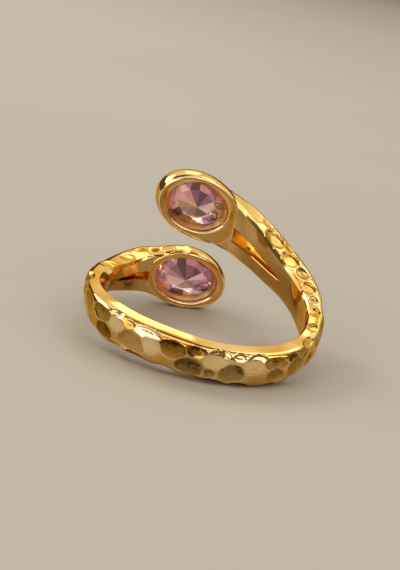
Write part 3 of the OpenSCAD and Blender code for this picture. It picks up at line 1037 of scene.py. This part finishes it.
@dataclass(frozen=True)
class HeadPlace:
    """Where a head stands, and how its outline runs into its arm."""

    name: str
    angle: float
    height: float
    slope: float
    arm_side: int
    reach: float
    corner: float

    def axes(self) -> Array:
        """Work out the head's own axes.

        Returns:
            A row each for the ways along, out of and across the head.
        """
        s, a = math.radians(self.slope), math.radians(self.angle)
        along = (math.cos(s) * math.cos(a), math.cos(s) * math.sin(a), math.sin(s))
        across = (-math.sin(s) * math.cos(a), -math.sin(s) * math.sin(a), math.cos(s))
        return np.array([along, (-math.sin(a), math.cos(a), 0), across])

    def put(self, points: Array) -> Array:
        """Move points from the head's own axes to the finger hole's."""
        return points @ self.axes() + (0, 0, self.height)

    def take(self, points: Array) -> Array:
        """Move points from the finger hole's axes to the head's own."""
        return (points - (0, 0, self.height)) @ self.axes().T


UPPER = HeadPlace("upper", 182.6, 4.62, 24, -1, 0.55, 0.67)
LOWER = HeadPlace("lower", -178.7, -2.74, 15.5, 1, 0.0, 0.9)


@dataclass(frozen=True)
class OvalHead:
    """One oval head: its wall, its satin inner face, and the hollow that holds the stone.

    Depths are taken outwards from the finger hole. The pairs of cup, seat_lip and mouth give how far behind
    the face, the seat and the outer face a ring of the hollow lies, and how far it stands out from the
    stone's girdle. A pale line of edge wear and painted highlight is painted at a share of the outline or of
    the stone's oval, over this width to each side, down to this depth behind the face. The cup is painted
    paler, as painted light against its own shade.
    """

    place: HeadPlace
    bore_r: float = 8.6
    length: float = 7.4
    width: float = 5.45
    depth: float = 2.6
    face: float = 0.05
    ridge: float = 0.2
    arm_ridge: float = 0.07
    arm_turn: Pair = (1.6, -0.1)
    dish: float = 0.06
    dish_blend: float = 0.85
    dish_bias: float = 0.7
    dish_rings: int = 10
    rim_steps: int = 8
    wall_rings: int = 26
    wall_knots: Rows = (
        (0.0, -0.1), (0.2, 0.02), (0.8, 0.12), (1.4, 0.095), (1.9, -0.1), (2.3, -0.38), (2.6, -0.7))
    wall_degree: int = 5
    back_bevel: float = 0.12
    stone_length: float = 5.9
    stone_width: float = 4.4
    gap: float = 0.04
    seat: float = 1.05
    girdle: float = 1.4
    girdle_band: float = 0.08
    clear: float = 1.0
    cup: Rows = (
        (0.0, 0.15), (0.07, 0.13), (0.15, 0.07), (0.19, 0.0), (0.35, -0.01), (0.46, -0.03), (0.52, -0.06))
    seat_lip: Rows = ((-0.06, -0.34), (0.0, -0.36))
    mouth: Rows = ((-0.1, -0.38), (-0.02, -0.34), (1.0, -0.3))
    # Pale lines of edge wear and painted highlight along the rim and the opening's lip
    rim_line: Triple = (0.985, 0.035, 0.22)
    lip_line: Triple = (1.05, 0.03, 0.2)
    satin_edge: float = 0.96
    satin_fade: float = 0.04
    satin_reach: float = 0.1
    # The cup is painted paler: painted light against its own shade
    cup_wear: float = 0.4
    cup_satin: float = 0.75
    slack: float = 0.02
    steps: int = 240

    def turns(self) -> Array:
        """Return the angles of the points around a ring, in radians."""
        return 2 * np.pi * np.arange(self.steps) / self.steps

    def depth_of(self, own: Array) -> Array:
        """Return the depths of points that are given in the head's own axes."""
        return -own[:, 1] - self.bore_r

    def outline(self, depth: float, out: float | Array, blend: float = 0.0) -> Array:
        """Give one ring of the head.

        Args:
            depth: the ring's depth.
            out: how far the ring stands out from the head's own outline.
            blend: how far the ring has turned from the outline, 0, to the opening's oval, 1.

        Returns:
            The ring's points in the head's own axes.
        """
        c, s = np.cos(self.turns()), np.sin(self.turns())
        on_arm = c * self.place.arm_side > 0
        power = np.where(on_arm & (s < 0), self.place.corner, 1.0)
        reach = np.where(on_arm, self.place.reach, 0.0)
        x = (self.length / 2 + out + reach) * signed_power(c, power)
        z = (self.width / 2 + out) * signed_power(s, power)
        x = (1 - blend) * x + blend * self.stone_length / 2 * c
        z = (1 - blend) * z + blend * self.stone_width / 2 * s
        return columns(x, -self.bore_r - depth, z)

    def spread(self, own: Array) -> Array:
        """Tell how far points lie from the head's middle towards its outline.

        Args:
            own: points in the head's own axes.

        Returns:
            0 in the middle, 1 on the outline.
        """
        on_arm = own[:, 0] * self.place.arm_side > 0
        power = np.where(on_arm & (own[:, 2] < 0), self.place.corner, 1.0)
        x = np.abs(own[:, 0]) / (self.length / 2 + np.where(on_arm, self.place.reach, 0.0))
        z = np.abs(own[:, 2]) / (self.width / 2)
        return (x ** (2 / power) + z ** (2 / power)) ** (power / 2)

    def oval(self, depth: float, out: float) -> Array:
        """Give one ring of the stone's hollow.

        Args:
            depth: the ring's depth.
            out: how far the ring stands out from the stone's girdle.

        Returns:
            The ring's points in the head's own axes.
        """
        x = (self.stone_length / 2 + out) * np.cos(self.turns())
        z = (self.stone_width / 2 + out) * np.sin(self.turns())
        return columns(x, -self.bore_r - depth, z)

    def wall_profile(self, depth: float | Array) -> Array:
        """Give how far the domed side wall stands out at a depth."""
        knots = np.array(self.wall_knots)
        return np.polyval(np.polyfit(knots[:, 0], knots[:, 1], self.wall_degree), depth)

    def solid(self) -> Object:
        """Build the head as a full oval body with a dished inner face and a rounded rim.

        Returns:
            The solid.
        """
        pull, shift = self.arm_turn
        toward_arm = smooth_step(np.cos(self.turns()) * self.place.arm_side * pull + shift)
        ridge = self.ridge + (self.arm_ridge - self.ridge) * toward_arm
        start = self.wall_profile(self.face + ridge)
        rings = []
        for blend in np.linspace(self.dish_blend, 0.0, self.dish_rings):
            dip = self.dish * math.sin(math.pi * (blend / self.dish_blend) ** self.dish_bias)
            rings.append(self.outline(self.face + dip, start - ridge * (1 - blend), blend))
        for k in range(1, self.rim_steps):
            a = math.radians(90 * k / self.rim_steps)
            depth, inset = self.face + ridge * (1 - math.cos(a)), ridge * (1 - math.sin(a))
            rings.append(self.outline(depth, start - inset))
        for t in np.linspace(0, 1, self.wall_rings):
            depth = self.face + ridge + (self.depth - self.face - ridge) * t
            rings.append(self.outline(depth, self.wall_profile(depth)))
        rings.append(self.outline(self.depth, self.wall_profile(self.depth) - self.back_bevel))
        points = self.place.put(np.stack(rings)).reshape(-1, 3)
        return mesh_object(f"{self.place.name}_head", points, loft_faces(len(rings), self.steps))

    def hollow(self) -> Object:
        """Build the space for the stone, its cup and its lip.

        Returns:
            The cutter.
        """
        rows = [(-self.clear, self.cup[0][1])]
        rows += [(self.face + down, out) for down, out in self.cup]
        rows += [(self.seat - self.gap + down, out) for down, out in self.seat_lip]
        rows += [(self.girdle - self.gap, self.gap), (self.girdle + self.girdle_band + self.gap, self.gap)]
        rows += [(self.depth + down, out) for down, out in self.mouth]
        rings = np.stack([self.oval(depth, out) for depth, out in rows])
        points = self.place.put(rings).reshape(-1, 3)
        return mesh_object(f"{self.place.name}_hollow", points, loft_faces(len(rows), self.steps))

    def marked(self, own: Array, worn: Array, satin: Array) -> tuple[Array, Array]:
        """Add the head's pale rim and lip lines of edge wear and painted highlight, its satin inner face,
        and its cup's satin and painted light to the casting's marks.

        Args:
            own: the casting's points in the head's own axes.
            worn: how much each point is painted pale so far, for edge wear and painted light.
            satin: how satin each point is so far.

        Returns:
            How much each point is painted pale, and how satin it is, with this head's marks.
        """
        depth = self.depth_of(own)
        spread = self.spread(own)
        half_length, half_width = self.stone_length / 2 + self.slack, self.stone_width / 2 + self.slack
        within = np.hypot(own[:, 0] / half_length, own[:, 2] / half_width) < 1
        in_cup = within & (depth > 0) & (depth < self.seat + self.face)
        hole = np.hypot(own[:, 0] / self.stone_length, own[:, 2] / self.stone_width) * 2
        # The cup gets painted light
        worn = np.maximum(worn, self.cup_wear * in_cup)
        # Pale rim and lip lines: edge wear and painted highlight
        for share, (middle, half, down) in ((spread, self.rim_line), (hole, self.lip_line)):
            line = np.clip(1 - np.abs(share - middle) / half, 0, 1)
            worn = np.maximum(worn, line * (depth > 0) * (depth < self.face + down))
        flat = (depth > 0) & (depth < self.face + self.dish + self.slack)
        on_face = flat * np.clip((self.satin_edge - spread) / self.satin_fade, 0, 1)
        around = satin * (depth > self.face + self.satin_reach)
        return worn, np.where(in_cup, self.cup_satin, np.maximum(around, on_face))


@dataclass(frozen=True)
class TaperedSlot:
    """A slot that narrows and grows shallow from the head to its tip, with chamfered edges."""

    name: str
    tip: Pair
    end: Pair
    width: float
    bow: float
    depth: float = 1.0
    tip_width: float = 0.06
    tip_depth: float = 0.35
    floor_share: float = 0.8
    chamfer: float = 0.09
    chamfer_slope: float = 0.8
    clear: float = 0.8
    skim: float = 0.01
    beyond_deg: float = 2.0
    side_slack: float = 0.06
    floor_slack: float = 0.1
    steps: int = 60

    def middle(self, t: Array) -> Array:
        """Give the height of the slot's middle at a share of its way from the tip."""
        return self.tip[1] + (self.end[1] - self.tip[1]) * t + self.bow * 4 * t * (1 - t)

    def cutter(self, shape: BandShape) -> Object:
        """Build the slot's space.

        Args:
            shape: the band whose inner face it is cut in.

        Returns:
            The cutter.
        """
        t = np.linspace(0, 1, self.steps)
        angle = self.tip[0] + (self.end[0] - self.tip[0]) * t
        z = self.middle(t)
        half = self.width / 2 * (self.tip_width + (1 - self.tip_width) * t)
        face = shape.bore_r + shape.flare(angle)
        floor = face + self.depth * (self.tip_depth + (1 - self.tip_depth) * t)
        edge = np.minimum(self.chamfer, half)
        rows = [(face - self.clear, half + edge), (face - self.skim, half + edge),
                (face + edge * self.chamfer_slope, half), (floor, half * self.floor_share)]
        low = [place(angle, r, z - w) for r, w in rows]
        high = [place(angle, r, z + w) for r, w in rows[::-1]]
        rings = np.stack(low + high, axis=1)
        return mesh_object(f"{self.name}_slot", rings.reshape(-1, 3), loft_faces(self.steps, rings.shape[1]))

    def holds(self, angle: Array, z: Array, depth: Array) -> Array:
        """Tell which points lie on the slot's walls and floor.

        Args:
            angle: degrees around the finger.
            z: heights along the finger hole.
            depth: depths behind the band's inner face.

        Returns:
            True for each point in the slot.
        """
        low, high = sorted((self.tip[0], self.end[0] + math.copysign(self.beyond_deg, self.end[0])))
        t = np.clip((angle - self.tip[0]) / (self.end[0] - self.tip[0]), 0, 1)
        across = np.abs(z - self.middle(t)) < self.width / 2 * t + self.side_slack
        return (angle > low) & (angle < high) & across & (depth < self.depth + self.floor_slack)


@dataclass
class RingCasting:
    """Band, heads and slots as one cast piece."""

    finish: bpy.types.Material
    heads: tuple[OvalHead, OvalHead] = (
        OvalHead(UPPER),
        OvalHead(LOWER, width=5.4, arm_ridge=0.04, dish=0.03),
    )
    slots: tuple[TaperedSlot, TaperedSlot] = (
        TaperedSlot("upper", (123.7, 0.35), (160, 2.3), 1.3, -0.17),
        TaperedSlot("lower", (-123, -1.25), (-157, -2.55), 0.845, 0.03, depth=0.7),
    )
    crease_deg: float = 30.0
    wheel_reach: float = 0.05
    wheel_fade: float = 0.04
    ends_deg: float = 179.0

    def build(self) -> Object:
        """Build the casting.

        Returns:
            The finished piece.
        """
        band = HammeredBand(self.finish)
        piece = band.build()
        for head in self.heads:
            join_shapes(piece, head.solid(), "UNION")
        for head in self.heads:
            join_shapes(piece, head.hollow(), "DIFFERENCE")
        for slot in self.slots:
            join_shapes(piece, slot.cutter(band.shape), "DIFFERENCE")
        piece.name = piece.data.name = "hammered_ring_casting"
        self.dress(piece, band.shape)
        return piece

    def dress(self, piece: Object, shape: BandShape) -> None:
        """Shade the casting, and mark which faces are satin, and where edge wear and painted light are
        painted pale.

        Args:
            piece: the casting.
            shape: the band.
        """
        mesh = piece.data
        for name in ("chart", "inward", "second", *(f"new_{kept}" for kept in Hammering.KEPT)):
            if name in mesh.attributes:
                mesh.attributes.remove(mesh.attributes[name])
        mesh.materials.clear()
        mesh.materials.append(self.finish)
        mesh.polygons.foreach_set("material_index", [0] * len(mesh.polygons))
        mesh.polygons.foreach_set("use_smooth", [True] * len(mesh.polygons))
        mesh.set_sharp_from_angle(angle=math.radians(self.crease_deg))
        points = POSE.lift(np.array([point.co for point in mesh.vertices], float))
        worn, satin = np.zeros(len(points)), self.satin(points, shape)
        for head in self.heads:
            worn, satin = head.marked(head.place.take(points), worn, satin)
        store(piece, "satin", satin)
        # The heads' pale lines and painted light join the ridges' pale lines; a lift of -1 paints them at
        # full strength
        store(piece, "ridge", np.maximum(read(piece, "ridge"), worn))
        store(piece, "lift", np.where(worn > 0, -1.0, read(piece, "lift")))
        mesh.update()

    def satin(self, points: Array, shape: BandShape) -> Array:
        """Tell how satin the band and its slots are, where the polishing wheel doesn't reach.

        Args:
            points: the casting's points around the finger hole.
            shape: the band.

        Returns:
            0 where it is polished, 1 where it is satin.
        """
        angle = np.degrees(np.arctan2(points[:, 0], -points[:, 1]))
        inner = shape.bore_r + shape.flare(np.clip(angle, -self.ends_deg, self.ends_deg))
        depth = np.hypot(points[:, 0], points[:, 1]) - inner
        satin = np.clip((self.wheel_reach - depth) / self.wheel_fade, 0, 1)
        for slot in self.slots:
            satin = np.where(slot.holds(angle, points[:, 2], depth), 1.0, satin)
        return satin


class Shade(Enum):
    """Painted light and shade for the pavilion facets, standing for what they show of the crown behind them:
    painted reflections, dark fans and white highlights.
    """

    SMOKE = "#4A2E3C"
    PLUM = "#745062"
    MAUVE = "#B07C90"
    LILAC = "#F4D6E0"
    ROSE = "#E8A0A8"
    PEACH = "#F8C8A4"
    CLEAR = "#FFF4F4"
    OLIVE = "#AE8A4C"


@dataclass(frozen=True)
class FacetShades:
    """Names of the painted light and shade of the twelve pavilion facets around the culet, and of the
    sixteen outside.

    They start at the end of the stone that points left in the photograph and go on to its top.
    """

    inner: str
    outer: str
    inner_share: float = 0.5

    def at(self, x: float, z: float) -> Shade:
        """Choose the painted light or shade at a place.

        Args:
            x: where it lies along the stone, in shares of the girdle's size.
            z: where it lies across the stone.

        Returns:
            The shade.
        """
        around = (self.inner if math.hypot(x, z) < self.inner_share else self.outer).split()
        step = 360 / len(around)
        return Shade[around[round(math.degrees(math.atan2(z, x)) % 360 / step) % len(around)]]


# The painted light and shade of each stone's facets
UPPER_SHADES = FacetShades(
    "PEACH ROSE PLUM SMOKE PLUM LILAC CLEAR MAUVE OLIVE PEACH CLEAR OLIVE",
    "ROSE PEACH MAUVE SMOKE ROSE MAUVE PEACH OLIVE OLIVE SMOKE MAUVE PEACH OLIVE SMOKE PEACH ROSE",
)
LOWER_SHADES = FacetShades(
    "MAUVE PLUM SMOKE PLUM SMOKE LILAC MAUVE PLUM CLEAR CLEAR LILAC PEACH",
    "ROSE MAUVE ROSE SMOKE ROSE MAUVE ROSE ROSE MAUVE SMOKE MAUVE PEACH SMOKE PEACH ROSE MAUVE",
)


@dataclass(frozen=True)
class OvalBrilliant:
    """An oval brilliant: table, crown, girdle and a shallow pavilion, in rings of corners.

    The rings give the depth, the share of the girdle's size, how many corners there are, and the
    turn of the first one.
    """

    head: OvalHead
    shades: FacetShades
    rings: Rows = (
        (0.25, 0.0, 1, 0.0),
        (0.85, 0.6, 12, 15.0),
        (1.4, 1.0, 24, 0.0),
        (1.48, 1.0, 24, 0.0),
        (1.95, 0.77, 12, 0.0),
        (2.3, 0.56, 12, 15.0),
    )

    def build(self, finish: bpy.types.Material) -> Object:
        """Build the cut stone.

        Args:
            finish: the crystal.

        Returns:
            The stone with flat facets.
        """
        corners = []
        for depth, share, count, first in self.rings:
            turn = np.radians(first + 360 * np.arange(count) / count)
            x = self.head.stone_length / 2 * share * np.cos(turn)
            z = self.head.stone_width / 2 * share * np.sin(turn)
            corners.append(columns(x, -self.head.bore_r - depth, z))
        name = f"{self.head.place.name}_oval_stone"
        shell = bmesh.new()
        for point in POSE.lay(self.head.place.put(np.concatenate(corners))):
            shell.verts.new(point)
        bmesh.ops.convex_hull(shell, input=shell.verts)
        bmesh.ops.recalc_face_normals(shell, faces=shell.faces)
        mesh = bpy.data.meshes.new(name)
        shell.to_mesh(mesh)
        shell.free()
        mesh.materials.append(finish)
        # Each facet gets a painted light or shade by where it lies
        layer = mesh.attributes.new("facet_shade", "FLOAT_COLOR", "FACE")
        layer.data.foreach_set("color", np.concatenate([linear(self.shade(f).value) for f in mesh.polygons]))
        return linked(name, mesh)

    def shade(self, facet: bpy.types.MeshPolygon) -> Shade:
        """Choose the painted light or shade of a facet by where it lies.

        Args:
            facet: the facet.

        Returns:
            The shade.
        """
        head = self.head
        own = head.place.take(POSE.lift(np.array([facet.center])))
        if head.depth_of(own)[0] > head.girdle - head.slack:
            return Shade.CLEAR
        return self.shades.at(own[0, 0] / head.stone_length * 2, own[0, 2] / head.stone_width * 2)


@dataclass(frozen=True)
class PhotoCamera:
    """The camera at the photograph's angle to the ring, and the frame that goes with it."""

    elevation_deg: float = 28.967
    azimuth_deg: float = -12.287
    roll_deg: float = 11.206
    distance_mm: float = 120.0
    px_per_mm: float = 11.927
    centre_px: Pair = (204.58, 304.123)
    frame_px: tuple[int, int] = (400, 570)
    sensor_mm: float = 36.0
    clip_m: Pair = (0.005, 50.0)

    def make(self) -> Object:
        """Create the camera and make it the scene's own.

        Returns:
            The camera.
        """
        back = direction(self.azimuth_deg, self.elevation_deg)
        a, r = math.radians(self.azimuth_deg), math.radians(self.roll_deg)
        right = np.array([math.cos(a), math.sin(a), 0.0])
        up = np.cross(back, right)
        right, up = math.cos(r) * right + math.sin(r) * up, -math.sin(r) * right + math.cos(r) * up
        data = bpy.data.cameras.new("photo_camera")
        data.sensor_fit = "HORIZONTAL"
        data.sensor_width = self.sensor_mm
        width, height = self.frame_px
        data.lens = self.sensor_mm * self.px_per_mm * self.distance_mm / width
        data.shift_x = (width / 2 - self.centre_px[0]) / width
        data.shift_y = (self.centre_px[1] - height / 2) / width
        data.clip_start, data.clip_end = self.clip_m
        matrix = Matrix(POSE.turn(np.array([right, up, back])).T.tolist()).to_4x4()
        matrix.translation = Vector(POSE.lay(back * self.distance_mm).tolist())
        camera = linked("photo_camera", data)
        camera.matrix_world = matrix
        bpy.context.scene.camera = camera
        return camera


@dataclass(frozen=True)
class SoftBox:
    """One large soft light, by where it stands and how bright its face is."""

    name: str
    azimuth_deg: float
    elevation_deg: float
    distance: float
    size: Pair
    brightness: float
    colour: str = "#FFFFFF"

    def make(self) -> Object:
        """Create the light, aimed at the ring.

        Returns:
            The light.
        """
        data = bpy.data.lights.new(self.name, "AREA")
        data.shape = "RECTANGLE"
        data.size, data.size_y = self.size
        data.energy = self.brightness * math.pi * self.size[0] * self.size[1]
        data.color = linear(self.colour)[:3]
        away = Vector(direction(self.azimuth_deg, self.elevation_deg))
        light = linked(self.name, data)
        light.location = away * self.distance
        light.rotation_euler = away.to_track_quat("Z", "Y").to_euler()
        return light


@dataclass(frozen=True)
class Studio:
    """A pale floor under soft lights, in a dim room that gives the metal something dark to mirror."""

    floor_size: float = 8.0
    world_colour: str = "#8A775A"
    world_strength: float = 0.5
    lights: tuple[SoftBox, ...] = (
        SoftBox("key_softbox", -138.0, 34.0, 0.58, (0.24, 0.2), 8.0),
        SoftBox("far_softbox", 158.0, 41.0, 0.64, (1.1, 0.58), 0.85),
        SoftBox("far_core", 171.0, 42.0, 0.6, (0.16, 0.18), 1.8),
        SoftBox("far_right_core", 133.0, 49.0, 0.6, (0.16, 0.2), 1.5),
        SoftBox("top_softbox", -20.0, 74.0, 0.6, (0.8, 0.42), 1.3),
        SoftBox("front_softbox", -33.0, 20.0, 0.6, (0.56, 0.3), 1.9),
        SoftBox("left_softbox", -84.0, 34.0, 0.6, (0.52, 0.34), 1.3),
        SoftBox("front_right_softbox", 48.0, 38.0, 0.6, (0.5, 0.26), 1.35),
        SoftBox("right_strip", 80.0, 40.0, 0.6, (0.14, 0.44), 1.8),
    )

    def make(self) -> None:
        """Create the floor, the lights and the world."""
        half = self.floor_size / 2
        corners = [(-half, -half, 0), (half, -half, 0), (half, half, 0), (-half, half, 0)]
        mesh = bpy.data.meshes.new("floor")
        mesh.from_pydata(corners, [], [(0, 1, 2, 3)])
        mesh.materials.append(PaleFloor().make())
        floor = linked("floor", mesh)
        for light in self.lights:
            light.make()
        world = bpy.data.worlds.new("studio")
        world.use_nodes = True
        sky = {"Color": linear(self.world_colour), "Strength": self.world_strength}
        feed(world.node_tree.nodes["Background"], sky)
        bpy.context.scene.world = world
        bpy.context.scene.view_settings.view_transform = "Standard"


def main() -> None:
    """Build the casting, the stones and the studio, and report each piece."""
    logging.basicConfig(level=logging.INFO, format="%(message)s")
    PhotoCamera().make()
    crystal = PinkCrystal().make()
    casting = RingCasting(PolishedCastGold().make())
    piece = casting.build()
    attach(piece, "root")
    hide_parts("ring_casting")
    LOG.info("casting: %d faces", len(piece.data.polygons))
    for head, shades in zip(casting.heads, (UPPER_SHADES, LOWER_SHADES)):
        stone = OvalBrilliant(head, shades).build(crystal)
        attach(stone, "root")
        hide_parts(f"{head.place.name}_stone")
        LOG.info("%s: %d facets", stone.name, len(stone.data.polygons))
    Studio().make()


if __name__ == "__main__":
    main()
